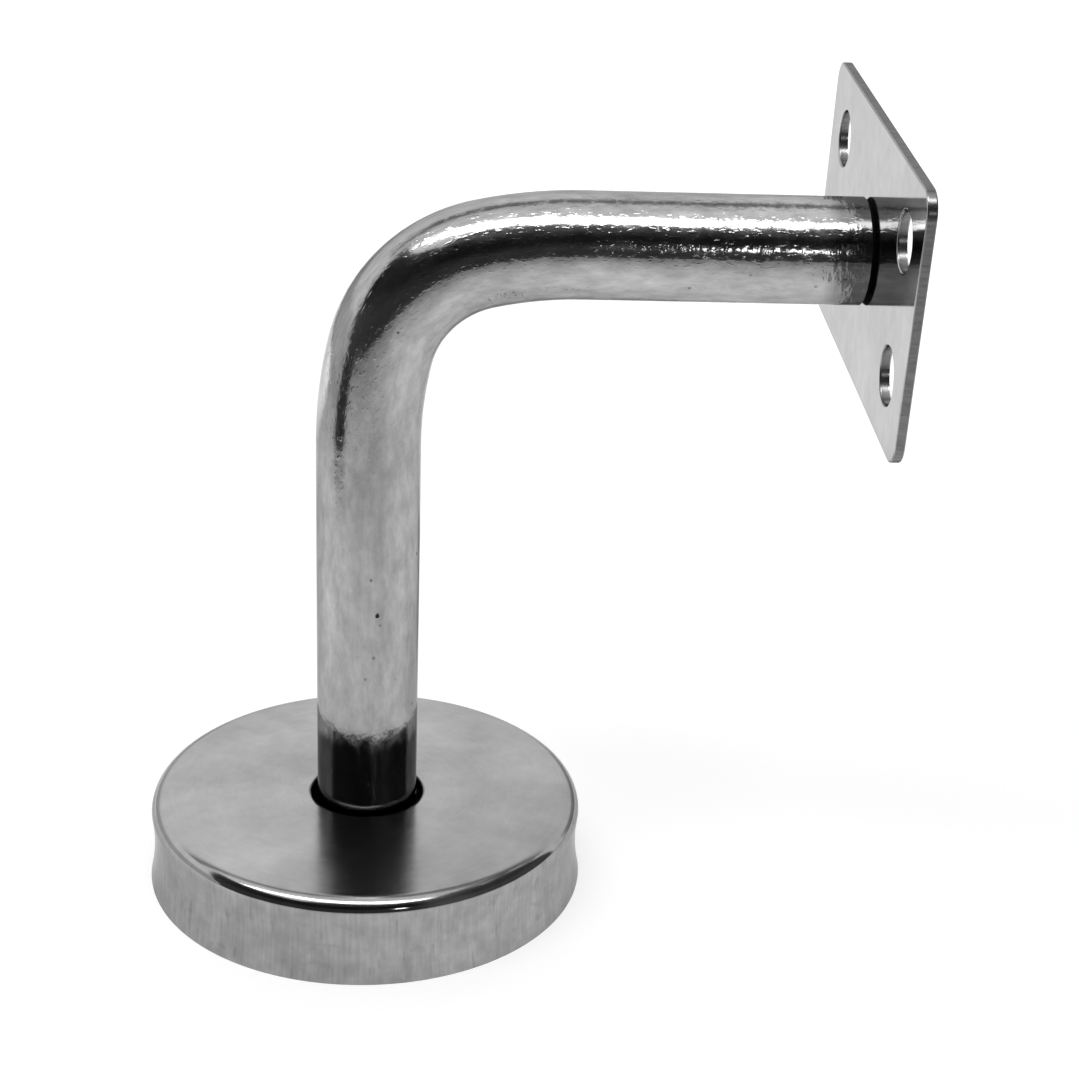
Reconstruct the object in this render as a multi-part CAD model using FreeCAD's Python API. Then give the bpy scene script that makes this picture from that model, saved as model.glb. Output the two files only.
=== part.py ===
import FreeCAD, Part
import math
import os

# Handrail bracket in stainless steel. A round bar stands on a wall flange, turns through a right
# angle and carries a thin rectangular rail plate. A drawn cover slides on the bar and hides the flange.
#
# Frame, in millimetres: the wall is the plane z = 0, the origin is the centre of the flange's back,
# +Z leads away from the wall along the bar's first run, +X leads along its second run to the rail
# plate, and Y is across the bracket, along the handrail.

# Arm: a solid round bar with a turned spigot at each end
BAR_DIAMETER = 16.0
STAND_OFF = 105.0            # wall to the axis of the second run
REACH = 73.0                 # axis of the first run to the inner face of the rail plate
BEND_RADIUS = 20.0           # on the bar's axis, in the middle of the bend
EASE_RADIUS = 65.0           # on the bar's axis, where the bend starts and ends
EASE_ANGLE = 13.0            # degrees of the turn that each gentle end takes
BAR_END_CHAMFER = 0.6
SPIGOT_DIAMETER = 10.0
SPIGOT_CLEARANCE = 0.1       # radial, in the plate and in the flange

# Rail plate: the rail's fixing screws go through its four corner holes
PLATE_LENGTH = 65.0          # along the rail
PLATE_WIDTH = 40.0           # across the rail
PLATE_THICKNESS = 1.5
PLATE_CORNER_RADIUS = 3.5
PLATE_TURN = 6.0             # degrees that the plate is turned about the second run's axis
PLATE_HOLE_DIAMETER = 8.5
PLATE_HOLE_MARGIN = 10.0     # from the hole's centre to both edges
PLATE_ROLLOVER = 0.35        # rounding that the punch left around holes, on the inner face
PLATE_EDGE_ROUNDING = 0.25
PLATE_WELD_LEG = 1.1         # plug weld around the spigot, flush with the outer face

# Wall flange, hidden by the cover
FLANGE_THICKNESS = 4.0
FLANGE_SIDE_CLEARANCE = 0.4  # radial, to the narrowest part of the cover's inside
FLANGE_EDGE_CHAMFER = 0.6
WALL_SCREW_COUNT = 3
WALL_SCREW_PITCH_DIAMETER = 46.0
WALL_SCREW_HOLE_DIAMETER = 5.5
WALL_SCREW_HEAD_DIAMETER = 10.0
FLANGE_WELD_LEG = 3.0
SPIGOT_RECESS = 0.3          # the lower spigot stops this far short of the wall

# Cover: a drawn cup with a rounded shoulder, a slightly drawn-in neck and an open rim at the wall
COVER_RIM_DIAMETER = 70.0
COVER_HEIGHT = 14.0
COVER_THICKNESS = 0.9
COVER_SHOULDER_RADIUS = 2.4
COVER_SHOULDER_INSET = 0.45  # the shoulder's largest radius is this much under the rim's
COVER_NECK_INSET = 0.75      # the neck's radius is this much under the rim's
COVER_NECK_DEPTH = 8.0       # from the top face down to the neck
COVER_BAR_CLEARANCE = 0.8    # radial, between the cover's collar and the bar
COVER_COLLAR_RADIUS = 0.2    # inside bend of the collar that is turned down around the bar
COVER_COLLAR_HEIGHT = 2.0    # from the top face to the collar's lower edge

BAR_RADIUS = BAR_DIAMETER / 2
SPIGOT_RADIUS = SPIGOT_DIAMETER / 2
SPIGOT_HOLE_RADIUS = SPIGOT_RADIUS + SPIGOT_CLEARANCE
COVER_RIM_RADIUS = COVER_RIM_DIAMETER / 2
COVER_NECK_RADIUS = COVER_RIM_RADIUS - COVER_NECK_INSET
COVER_COLLAR_BORE = BAR_RADIUS + COVER_BAR_CLEARANCE
FLANGE_RADIUS = COVER_NECK_RADIUS - COVER_THICKNESS - FLANGE_SIDE_CLEARANCE

CUTTER_OVERRUN = 1.0         # how far each cutter runs past the faces that it cuts

X = FreeCAD.Vector(1, 0, 0)
Y = FreeCAD.Vector(0, 1, 0)
Z = FreeCAD.Vector(0, 0, 1)
ORIGIN = FreeCAD.Vector(0, 0, 0)
PLATE_CENTRE = FreeCAD.Vector(REACH, 0, STAND_OFF)


def point(radius, height):
    return FreeCAD.Vector(radius, 0, height)


def line(start, end):
    return Part.makeLine(start, end)


def corner_arc(centre, radius, start_degrees, end_degrees):
    """Arc in the XZ plane, angles from +X towards +Z."""
    points = []
    for degrees in (start_degrees, (start_degrees + end_degrees) / 2, end_degrees):
        angle = math.radians(degrees)
        points.append(centre + point(radius * math.cos(angle), radius * math.sin(angle)))
    return Part.Arc(*points).toShape()


def spin(edges):
    """Solid of revolution about Z from a closed outline in the XZ plane."""
    wire = Part.Wire(Part.__sortEdges__(edges))
    return Part.Face(wire).revolve(ORIGIN, Z, 360)


def spin_points(*points):
    outline = list(points) + [points[0]]
    return spin([line(start, end) for start, end in zip(outline, outline[1:])])


def onto_second_run(shape):
    """Moves a shape built around Z, with its base at z = 0, to stand on the rail plate's inner face."""
    placed = shape.copy()
    placed.rotate(ORIGIN, Y, 90)
    placed.translate(PLATE_CENTRE)
    return placed


def round_bar(length):
    """Bar around Z from z = 0 upwards, chamfered at its lower end."""
    inner = BAR_RADIUS - BAR_END_CHAMFER
    return spin_points(point(0, 0), point(inner, 0), point(BAR_RADIUS, BAR_END_CHAMFER),
                       point(BAR_RADIUS, length), point(0, length))


def bend_arcs():
    """Radius and turn in degrees of each arc of the bend, from the first run to the second."""
    return [(EASE_RADIUS, EASE_ANGLE), (BEND_RADIUS, 90 - 2 * EASE_ANGLE), (EASE_RADIUS, EASE_ANGLE)]


def bend_reach():
    """How far the bend carries the bar's axis along X, which is also how much height it takes."""
    reach = 0.0
    turned = 0.0
    for radius, turn in bend_arcs():
        start = math.radians(turned)
        end = math.radians(turned + turn)
        reach += radius * (math.cos(start) - math.cos(end))
        turned += turn
    return reach


def make_bend():
    """Bent stretch of the bar, starting upwards from the origin."""
    bend = None
    place = ORIGIN
    turned = 0.0
    for radius, turn in bend_arcs():
        angle = math.radians(turned)
        along = point(math.sin(angle), math.cos(angle))
        inward = point(math.cos(angle), -math.sin(angle))
        section = Part.Face(Part.Wire(Part.makeCircle(BAR_RADIUS, place, along)))
        centre = place + inward * radius
        arc = section.revolve(centre, Y, turn)
        bend = arc if bend is None else bend.fuse(arc)
        turned += turn
        end = math.radians(turned)
        place = centre - point(math.cos(end), -math.sin(end)) * radius
    return bend


def make_arm():
    first_length = STAND_OFF - bend_reach() - FLANGE_THICKNESS
    first_run = round_bar(first_length)
    first_run.translate(Z * FLANGE_THICKNESS)
    lower_spigot = Part.makeCylinder(SPIGOT_RADIUS, FLANGE_THICKNESS - SPIGOT_RECESS, Z * SPIGOT_RECESS)

    bend = make_bend()
    bend.translate(Z * (STAND_OFF - bend_reach()))

    second_run = round_bar(REACH - bend_reach())
    second_run.rotate(ORIGIN, Y, -90)
    second_run.translate(PLATE_CENTRE)
    upper_spigot = Part.makeCylinder(SPIGOT_RADIUS, PLATE_THICKNESS, PLATE_CENTRE, X)
    return first_run.fuse([lower_spigot, bend, second_run, upper_spigot]).removeSplitter()


def plate_hole_centres():
    half_length = PLATE_LENGTH / 2 - PLATE_HOLE_MARGIN
    half_width = PLATE_WIDTH / 2 - PLATE_HOLE_MARGIN
    return [(side * half_width, end * half_length) for side in (-1, 1) for end in (-1, 1)]


def punched_hole(radius, rollover):
    """Cutter for a hole through the plate that is rounded over at the inner face, z = 0."""
    wide = radius + rollover
    bottom = -CUTTER_OVERRUN
    top = PLATE_THICKNESS + CUTTER_OVERRUN
    edges = [line(point(0, bottom), point(wide, bottom)),
             line(point(wide, bottom), point(wide, 0)),
             corner_arc(point(wide, rollover), rollover, 270, 180),
             line(point(radius, rollover), point(radius, top)),
             line(point(radius, top), point(0, top)),
             line(point(0, top), point(0, bottom))]
    return spin(edges)


def make_rail_plate():
    plate = Part.makeBox(PLATE_WIDTH, PLATE_LENGTH, PLATE_THICKNESS,
                         FreeCAD.Vector(-PLATE_WIDTH / 2, -PLATE_LENGTH / 2, 0))
    upright = [edge for edge in plate.Edges if edge.BoundBox.ZLength > PLATE_THICKNESS / 2]
    plate = plate.makeFillet(PLATE_CORNER_RADIUS, upright)
    flat = [edge for edge in plate.Edges if edge.BoundBox.ZLength < PLATE_THICKNESS / 2]
    plate = plate.makeFillet(PLATE_EDGE_ROUNDING, flat)
    for across, along in plate_hole_centres():
        cutter = punched_hole(PLATE_HOLE_DIAMETER / 2, PLATE_ROLLOVER)
        cutter.translate(FreeCAD.Vector(across, along, 0))
        plate = plate.cut(cutter)
    plate = plate.cut(Part.makeCylinder(SPIGOT_HOLE_RADIUS, PLATE_THICKNESS))
    plate = plate.cut(weld_groove())
    plate.rotate(ORIGIN, Z, PLATE_TURN)
    return onto_second_run(plate)


def weld_groove():
    """Bevel around the spigot hole at the plate's outer face."""
    root = PLATE_THICKNESS - PLATE_WELD_LEG
    return spin_points(point(0, root), point(SPIGOT_HOLE_RADIUS, root),
                       point(SPIGOT_HOLE_RADIUS + PLATE_WELD_LEG, PLATE_THICKNESS),
                       point(0, PLATE_THICKNESS))


def make_plate_weld():
    weld = weld_groove().cut(Part.makeCylinder(SPIGOT_RADIUS, PLATE_THICKNESS))
    return onto_second_run(weld)


def make_wall_flange():
    edge = FLANGE_RADIUS - FLANGE_EDGE_CHAMFER
    flange = spin_points(point(SPIGOT_HOLE_RADIUS, 0), point(FLANGE_RADIUS, 0),
                         point(FLANGE_RADIUS, FLANGE_THICKNESS - FLANGE_EDGE_CHAMFER),
                         point(edge, FLANGE_THICKNESS), point(SPIGOT_HOLE_RADIUS, FLANGE_THICKNESS))
    for index in range(WALL_SCREW_COUNT):
        angle = math.radians(180 + index * 360 / WALL_SCREW_COUNT)
        hole = screw_hole()
        hole.translate(FreeCAD.Vector(math.cos(angle), math.sin(angle), 0) * (WALL_SCREW_PITCH_DIAMETER / 2))
        flange = flange.cut(hole)
    return flange


def screw_hole():
    """Cutter for a countersunk hole through the flange, its wide end on the side away from the wall."""
    radius = WALL_SCREW_HOLE_DIAMETER / 2
    head = WALL_SCREW_HEAD_DIAMETER / 2
    bottom = -CUTTER_OVERRUN
    top = FLANGE_THICKNESS + CUTTER_OVERRUN
    return spin_points(point(0, bottom), point(radius, bottom),
                       point(radius, FLANGE_THICKNESS - (head - radius)),
                       point(head, FLANGE_THICKNESS), point(head, top), point(0, top))


def make_flange_weld():
    """Fillet weld between the flange and the bar's foot."""
    return spin_points(point(BAR_RADIUS - BAR_END_CHAMFER, FLANGE_THICKNESS),
                       point(BAR_RADIUS + FLANGE_WELD_LEG, FLANGE_THICKNESS),
                       point(BAR_RADIUS, FLANGE_THICKNESS + FLANGE_WELD_LEG),
                       point(BAR_RADIUS, FLANGE_THICKNESS + BAR_END_CHAMFER))


def cover_skin(inset):
    """One face of the cover's sheet, from the collar to the rim, that far inside its outer face."""
    top = COVER_HEIGHT - inset
    shoulder_radius = COVER_RIM_RADIUS - COVER_SHOULDER_INSET - inset
    bend = COVER_SHOULDER_RADIUS - inset
    bend_centre = point(shoulder_radius - bend, COVER_HEIGHT - COVER_SHOULDER_RADIUS)
    collar_bend = COVER_COLLAR_RADIUS + COVER_THICKNESS - inset
    collar_wall = COVER_COLLAR_BORE + inset
    collar_centre = point(collar_wall + collar_bend, COVER_HEIGHT - COVER_THICKNESS - COVER_COLLAR_RADIUS)
    collar_foot = point(collar_wall, COVER_HEIGHT - COVER_COLLAR_HEIGHT)
    neck = point(COVER_NECK_RADIUS - inset, COVER_HEIGHT - COVER_NECK_DEPTH)
    rim = point(COVER_RIM_RADIUS - inset, 0)
    shoulder_end = point(shoulder_radius, bend_centre.z)
    edges = [line(collar_foot, point(collar_wall, collar_centre.z)),
             corner_arc(collar_centre, collar_bend, 180, 90),
             line(point(collar_centre.x, top), point(bend_centre.x, top)),
             corner_arc(bend_centre, bend, 90, 0),
             Part.Arc(shoulder_end, neck, rim).toShape()]
    return edges, collar_foot, rim


def make_cover():
    outer, outer_foot, outer_rim = cover_skin(0)
    inner, inner_foot, inner_rim = cover_skin(COVER_THICKNESS)
    return spin(outer + inner + [line(outer_foot, inner_foot), line(outer_rim, inner_rim)])


PARTS = {
    "arm": make_arm,
    "rail_plate": make_rail_plate,
    "plate_weld": make_plate_weld,
    "wall_flange": make_wall_flange,
    "flange_weld": make_flange_weld,
    "cover": make_cover,
}

os.makedirs("parts", exist_ok=True)
for name, make in PARTS.items():
    solid = make()
    solid.exportStep("parts/" + name + ".step")
    print(name, "valid", solid.isValid(), "solids", len(solid.Solids), "volume", round(solid.Volume, 1))
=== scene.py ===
import math

import bmesh
import bpy
from mathutils import Matrix, Vector


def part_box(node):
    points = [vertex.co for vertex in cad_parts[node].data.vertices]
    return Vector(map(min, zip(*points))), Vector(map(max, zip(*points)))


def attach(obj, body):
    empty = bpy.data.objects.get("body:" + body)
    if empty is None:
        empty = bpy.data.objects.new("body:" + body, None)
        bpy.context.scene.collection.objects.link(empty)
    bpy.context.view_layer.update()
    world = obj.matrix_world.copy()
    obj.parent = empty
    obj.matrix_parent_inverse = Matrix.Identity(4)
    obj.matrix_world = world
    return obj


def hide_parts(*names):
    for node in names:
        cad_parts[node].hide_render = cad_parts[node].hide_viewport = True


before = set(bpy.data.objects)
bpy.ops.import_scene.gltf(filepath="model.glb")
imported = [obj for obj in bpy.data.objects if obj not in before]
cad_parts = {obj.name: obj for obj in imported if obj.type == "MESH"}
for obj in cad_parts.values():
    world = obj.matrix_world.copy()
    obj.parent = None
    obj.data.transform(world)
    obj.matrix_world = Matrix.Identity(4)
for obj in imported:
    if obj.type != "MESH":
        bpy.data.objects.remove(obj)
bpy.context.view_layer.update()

# Looks of a polished stainless steel handrail bracket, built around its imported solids. Everything is in
# metres in the solids' own frame: the wall is z = 0, +Z leads away from it, +X leads to the rail plate.
# Fine smooth meshes stand for the arm, the cover and the weld at the arm's foot, because facets would
# show in a polish. The plate, the flange and the plate's weld keep their solids.

MM = 0.001

# Sizes that the boxes of the solids give
BAR_RADIUS = -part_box("arm")[0].x
BAR_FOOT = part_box("arm")[0].z
BAR_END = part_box("arm")[1].x
STAND_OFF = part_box("arm")[1].z - BAR_RADIUS
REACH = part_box("rail_plate")[0].x
PLATE_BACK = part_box("rail_plate")[1].x
FLANGE_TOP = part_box("wall_flange")[1].z
COVER_RIM_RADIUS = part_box("cover")[1].x
COVER_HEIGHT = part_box("cover")[1].z
WELD_FOOT_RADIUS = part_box("flange_weld")[1].x
WELD_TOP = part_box("flange_weld")[1].z

# Sizes that they don't give, the same as the solids have
EASE_RADIUS = 65.0 * MM
EASE_ANGLE = 13.0
BEND_RADIUS = 20.0 * MM
BAR_END_CHAMFER = 0.6 * MM
SPIGOT_RADIUS = 5.0 * MM
COVER_THICKNESS = 0.9 * MM
COVER_SHOULDER_RADIUS = 2.4 * MM
COVER_SHOULDER_INSET = 0.45 * MM
COVER_NECK_INSET = 0.75 * MM
COVER_NECK_DEPTH = 8.0 * MM
COVER_BAR_CLEARANCE = 0.8 * MM
COVER_COLLAR_RADIUS = 0.2 * MM
COVER_COLLAR_HEIGHT = 2.0 * MM

# Weld bead at the arm's foot
WELD_RIPPLES = 34
WELD_RIPPLE_HEIGHT = 0.16 * MM
WELD_BULGE = 0.35 * MM
WELD_CRESCENT = 3.4             # radians of a ripple's wave that its middle lags behind its ends
WELD_WANDER = 0.25 * MM         # how far the bead's face sinks in places
WELD_WANDER_WAVES = (3, 5)      # per turn
WELD_WANDER_PHASE = 0.8
WELD_WANDER_AT_EDGES = 0.4      # share of it at the bead's edges, with all of it in the middle

# Fineness of the meshes
BAR_SIDES = 144
BAR_RUN_STEPS = 40
BEND_STEPS_PER_DEGREE = 1.4
COVER_SIDES = 288
COVER_COLLAR_WALL_STEPS = 2
COVER_COLLAR_BEND_STEPS = 12
COVER_TOP_STEPS = 10
COVER_SHOULDER_STEPS = 28
COVER_WALL_STEPS = 24
WELD_SIDES = 1020
WELD_FACE_STEPS = 12
JOIN_DISTANCE = 1e-7
SMOOTH_BELOW = 35               # degrees between faces
WELD_SMOOTH_BELOW = 50

# Studio. A grey of 1 is as white as the world. Azimuths are degrees from the front (-Y) towards +X. A ramp
# is (from, to, result at from, result at to), and pairs in a list are (place, grey).
FLOOR_HALF_SIDE = 4.0
FLOOR_PAPER = (0.9, 0.9, 0.9, 1.0)
FLOOR_GLOW = 1.22
FLOOR_DARK_GLOW = 0.05
FLOOR_GLOW_VIEWED = (0.15, 0.5, 0.55, 1.0)      # share of glow by distance, for what looks at the floor
FLOOR_GLOW_MIRRORED = 0.3                       # share of glow in reflections
FLOOR_FRONT_SHADE = (-0.06, -0.36, 0.0, 0.6)    # by Y
FLOOR_DARK_LEFT = (-84, -74, 0.0, 1.0)          # by azimuth
FLOOR_DARK_RIGHT = (-44, -56, 0.0, 1.0)         # by azimuth
FLOOR_DARK_NEAR = (0.17, 0.23, 0.0, 1.0)        # by distance
FLOOR_FAR_SHADE = (0.17, 0.34, 0.0, 0.42)       # by distance
FLOOR_FAR_SIDES = (166, 158, 0.0, 1.0)          # by azimuth to either side
FLOOR_BACK_SHADE = (0.065, 0.095, 0.0, 0.5)     # by distance
FLOOR_BACK_SIDES = (138, 150, 0.0, 1.0)         # by azimuth

ROUND_CARD_STEPS = 60
FLAG_RADIUS = 0.6
FLAG_FEET = (-72, 106)
FLAG_TOPS = (-105, 106)
FLAG_HEIGHTS = (0.70, 1.18)
FLAG_STEP = (-38, -22)
FLAG_SIDE_GREYS = ((-105, 0.02), (-20, 0.0), (25, 0.0), (38, 0.10), (50, 0.10), (60, 0.05), (106, 0.05))
FLAG_HEIGHT_GREYS = ((0.0, 0.05), (0.20, 0.05), (0.32, 0.015), (0.48, 0.014), (0.62, 0.045), (0.79, 0.10),
                     (1.1, 0.15))
WALL_RADIUS = 0.9
WALL_TOP = 0.30
WALL_HEIGHT_GREYS = ((0.0, 0.3), (0.22, 0.3), (0.30, 0.95))
LEFT_WALL = (-174, -76)
LEFT_WALL_GREYS = ((-174, 1.0), (-166, 0.6), (-125, 0.62), (-76, 0.62))
RIGHT_WALL = (118, 168)
RIGHT_WALL_GREYS = ((118, 0.9), (125, 0.36), (160, 0.36), (168, 1.0))
BACK_CARD_WIDTH = (-0.5, 0.3)
BACK_CARD_DEPTH = (0.14, 0.9)
BACK_CARD_HEIGHT = 1 * MM
BACK_CARD_GREYS = ((0.14, 1.0), (0.22, 1.65), (0.9, 1.65))
CEILING_WIDTH = (-1.6, 1.6)
CEILING_DEPTH = (0.12, 1.2)
CEILING_HEIGHT = 1.3
CEILING_GREYS = ((0.12, 1.0), (0.44, 0.85), (0.56, 0.26), (0.74, 0.26), (0.95, 0.88), (1.2, 1.0))

LAMPS = (
    {"name": "overhead_strip", "shape": "ELLIPSE", "place": Vector((0.0, -0.335, 1.0)),
     "target": Vector((0.0, -0.335, 0.0)), "long_side": Vector((0.95, -0.30, 0.0)), "size": (1.7, 0.27),
     "radiance": 6.5},
    {"name": "front_spark", "shape": "RECTANGLE", "place": Vector((0.160, -0.50, 0.206)),
     "target": Vector((0.05, 0.0, 0.105)), "long_side": Vector((1.0, 0.0, 0.0)), "size": (0.05, 0.035),
     "radiance": 7.0},
)

# Camera
LENS = 68.59
SENSOR = 36.0
CAMERA_CLIP = (10 * MM, 20.0)
CAMERA_PLACE = Vector((5.57, -293.79, 181.89)) * MM
CAMERA_YAW = 4.083
CAMERA_PITCH = 22.801
CAMERA_ROLL = 2.280


# ---------------------------------------------------------------- meshes

def finish_mesh(name, vertices, faces, sharp_degrees=SMOOTH_BELOW):
    """Object from vertices and faces, smooth apart from edges sharper than the given angle."""
    mesh = bpy.data.meshes.new(name)
    mesh.from_pydata(vertices, [], faces)
    mesh.validate()
    mesh.shade_smooth()
    mesh.set_sharp_from_angle(angle=math.radians(sharp_degrees))
    made = bpy.data.objects.new(name, mesh)
    bpy.context.scene.collection.objects.link(made)
    return made


def loft(rings, closed_ends=True):
    """Vertices and faces of a skin through rings of equally many points. A fan closes an end."""
    sides = len(rings[0])
    vertices = [p for ring in rings for p in ring]
    faces = []
    for low in range(len(rings) - 1):
        for k in range(sides):
            near, far = low * sides + k, low * sides + (k + 1) % sides
            faces.append((near, far, far + sides, near + sides))
    if closed_ends:
        for ring, flip in ((0, True), (len(rings) - 1, False)):
            centre = len(vertices)
            vertices.append(sum(rings[ring], Vector()) / sides)
            for k in range(sides):
                a, b = ring * sides + k, ring * sides + (k + 1) % sides
                faces.append((b, a, centre) if flip else (a, b, centre))
    return vertices, faces


def endless_loft(name, rings, **options):
    """Object whose skin runs through rings of points and from the last one back to the first."""
    vertices, faces = loft(rings + [rings[0]], closed_ends=False)
    made = finish_mesh(name, vertices, faces, **options)
    work = bmesh.new()
    work.from_mesh(made.data)
    bmesh.ops.remove_doubles(work, verts=work.verts, dist=JOIN_DISTANCE)
    bmesh.ops.recalc_face_normals(work, faces=work.faces)
    work.to_mesh(made.data)
    work.free()
    return made


def steps(start, end, count):
    return [start + (end - start) * i / count for i in range(count + 1)]


def turns(count):
    """Angles that share out a full turn."""
    return [2 * math.pi * k / count for k in range(count)]


def arc_points(centre, radius, start_degrees, end_degrees, count):
    """Points (r, z) along an arc, angles from +r towards +z."""
    points = []
    for degrees in steps(start_degrees, end_degrees, count):
        angle = math.radians(degrees)
        points.append((centre[0] + radius * math.cos(angle), centre[1] + radius * math.sin(angle)))
    return points


def arc_through(start, middle, end, count):
    """Points along the arc through three points (r, z), the end points included."""
    (ax, ay), (bx, by), (cx, cy) = start, middle, end
    d = 2 * (ax * (by - cy) + bx * (cy - ay) + cx * (ay - by))
    a2, b2, c2 = ax * ax + ay * ay, bx * bx + by * by, cx * cx + cy * cy
    centre = ((a2 * (by - cy) + b2 * (cy - ay) + c2 * (ay - by)) / d,
              (a2 * (cx - bx) + b2 * (ax - cx) + c2 * (bx - ax)) / d)
    radius = math.hypot(ax - centre[0], ay - centre[1])
    first = math.degrees(math.atan2(ay - centre[1], ax - centre[0]))
    last = math.degrees(math.atan2(cy - centre[1], cx - centre[0]))
    turn = (last - first + 180) % 360 - 180
    return arc_points(centre, radius, first, first + turn, count)


def run_points(start, end, count, guard=0.05 * MM):
    """Points along a straight stretch, with one close to each end so that its shading stays flat."""
    (ar, az), (br, bz) = start, end
    length = math.hypot(br - ar, bz - az)
    shares = [0, guard / length] + [i / count for i in range(1, count)] + [1 - guard / length, 1]
    return [(ar + (br - ar) * t, az + (bz - az) * t) for t in shares]


# ---------------------------------------------------------------- arm

def bend_arcs():
    """Radius and turn of the bend's three arcs."""
    return [(EASE_RADIUS, EASE_ANGLE), (BEND_RADIUS, 90 - 2 * EASE_ANGLE), (EASE_RADIUS, EASE_ANGLE)]


def bend_reach():
    """How far the bend carries the bar's axis along X."""
    reach, turned = 0.0, 0.0
    for radius, turn in bend_arcs():
        reach += radius * (math.cos(math.radians(turned)) - math.cos(math.radians(turned + turn)))
        turned += turn
    return reach


def axis_stations():
    """(x, z, turned degrees, length so far) along the bar between its two chamfers. The bend rises as far
    as it reaches."""
    start = FLANGE_TOP + BAR_END_CHAMFER
    bend_start = STAND_OFF - bend_reach()
    stations = [(0.0, z, 0.0, z) for z in steps(start, bend_start, BAR_RUN_STEPS)]
    x, z, turned, length = stations[-1]
    for radius, turn in bend_arcs():
        centre_x = x + radius * math.cos(math.radians(turned))
        centre_z = z - radius * math.sin(math.radians(turned))
        for degrees in steps(turned, turned + turn, round(turn * BEND_STEPS_PER_DEGREE))[1:]:
            angle = math.radians(degrees)
            along = radius * math.radians(degrees - turned)
            stations.append((centre_x - radius * math.cos(angle), centre_z + radius * math.sin(angle),
                             degrees, length + along))
        x, z, turned, length = stations[-1]
    for far in steps(x, REACH - BAR_END_CHAMFER, BAR_RUN_STEPS)[1:]:
        stations.append((far, STAND_OFF, 90.0, length + far - x))
    return stations


def bar_ring(x, z, degrees, radius):
    """Ring of points square to the bar's axis, from the inside of the bend towards +Y."""
    angle = math.radians(degrees)
    inward = Vector((math.cos(angle), 0, -math.sin(angle)))
    across = Vector((0, 1, 0))
    return [Vector((x, 0, z)) + radius * (math.cos(turn) * inward + math.sin(turn) * across)
            for turn in turns(BAR_SIDES)]


def make_arm():
    """The bent bar with its chamfered ends and turned spigots. The attribute "straight" holds where each
    point lies on the bar before it is bent, for marks that follow the bend."""
    inner = BAR_RADIUS - BAR_END_CHAMFER
    foot = [(0.0, BAR_FOOT, 0.0, BAR_FOOT, SPIGOT_RADIUS),
            (0.0, FLANGE_TOP, 0.0, FLANGE_TOP, SPIGOT_RADIUS),
            (0.0, FLANGE_TOP, 0.0, FLANGE_TOP, inner)]
    body = [station + (BAR_RADIUS,) for station in axis_stations()]
    end = body[-1][3] + BAR_END_CHAMFER
    head = [(REACH, STAND_OFF, 90.0, end, inner),
            (REACH, STAND_OFF, 90.0, end, SPIGOT_RADIUS),
            (BAR_END, STAND_OFF, 90.0, end + BAR_END - REACH, SPIGOT_RADIUS)]
    stations = foot + body + head
    vertices, faces = loft([bar_ring(x, z, turned, radius) for x, z, turned, _, radius in stations])
    made = finish_mesh("arm_polished", vertices, faces)
    straight = made.data.attributes.new("straight", "FLOAT_VECTOR", "POINT")
    places = []
    for _, _, _, along, radius in stations:
        for turn in turns(BAR_SIDES):
            places += [radius * math.cos(turn), radius * math.sin(turn), along]
    places += [0.0, 0.0, stations[0][3], 0.0, 0.0, stations[-1][3]]
    straight.data.foreach_set("vector", places)
    return made


# ---------------------------------------------------------------- cover

def cover_skin(inset):
    """One face of the cover's sheet from the collar to the rim, that far inside its outer face."""
    shoulder_radius = COVER_RIM_RADIUS - COVER_SHOULDER_INSET - inset
    bend = COVER_SHOULDER_RADIUS - inset
    bend_centre = (shoulder_radius - bend, COVER_HEIGHT - COVER_SHOULDER_RADIUS)
    collar_wall = BAR_RADIUS + COVER_BAR_CLEARANCE + inset
    collar_bend = COVER_COLLAR_RADIUS + COVER_THICKNESS - inset
    collar_centre = (collar_wall + collar_bend, COVER_HEIGHT - COVER_THICKNESS - COVER_COLLAR_RADIUS)
    collar_foot = (collar_wall, COVER_HEIGHT - COVER_COLLAR_HEIGHT)
    neck = (COVER_RIM_RADIUS - COVER_NECK_INSET - inset, COVER_HEIGHT - COVER_NECK_DEPTH)
    rim = (COVER_RIM_RADIUS - inset, 0.0)
    collar = arc_points(collar_centre, collar_bend, 180, 90, COVER_COLLAR_BEND_STEPS)
    shoulder = arc_points(bend_centre, bend, 90, 0, COVER_SHOULDER_STEPS)
    collar_run = run_points(collar_foot, collar[0], COVER_COLLAR_WALL_STEPS)
    top_run = run_points(collar[-1], shoulder[0], COVER_TOP_STEPS)
    wall = arc_through(shoulder[-1], neck, rim, COVER_WALL_STEPS)
    return collar_run + collar[1:] + top_run[1:] + shoulder[1:] + wall[1:]


def make_cover():
    """The drawn cup: its outer skin down to the rim and its inner skin back up to the collar."""
    outline = cover_skin(0) + list(reversed(cover_skin(COVER_THICKNESS)))
    rings = [[Vector((r * math.cos(turn), r * math.sin(turn), z)) for turn in turns(COVER_SIDES)]
             for r, z in outline]
    return endless_loft("cover_polished", rings)


# ---------------------------------------------------------------- weld at the arm's foot

def half_wave(value):
    """From 0 to 1 where a sine or cosine goes from -1 to 1."""
    return 0.5 + 0.5 * value


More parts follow.
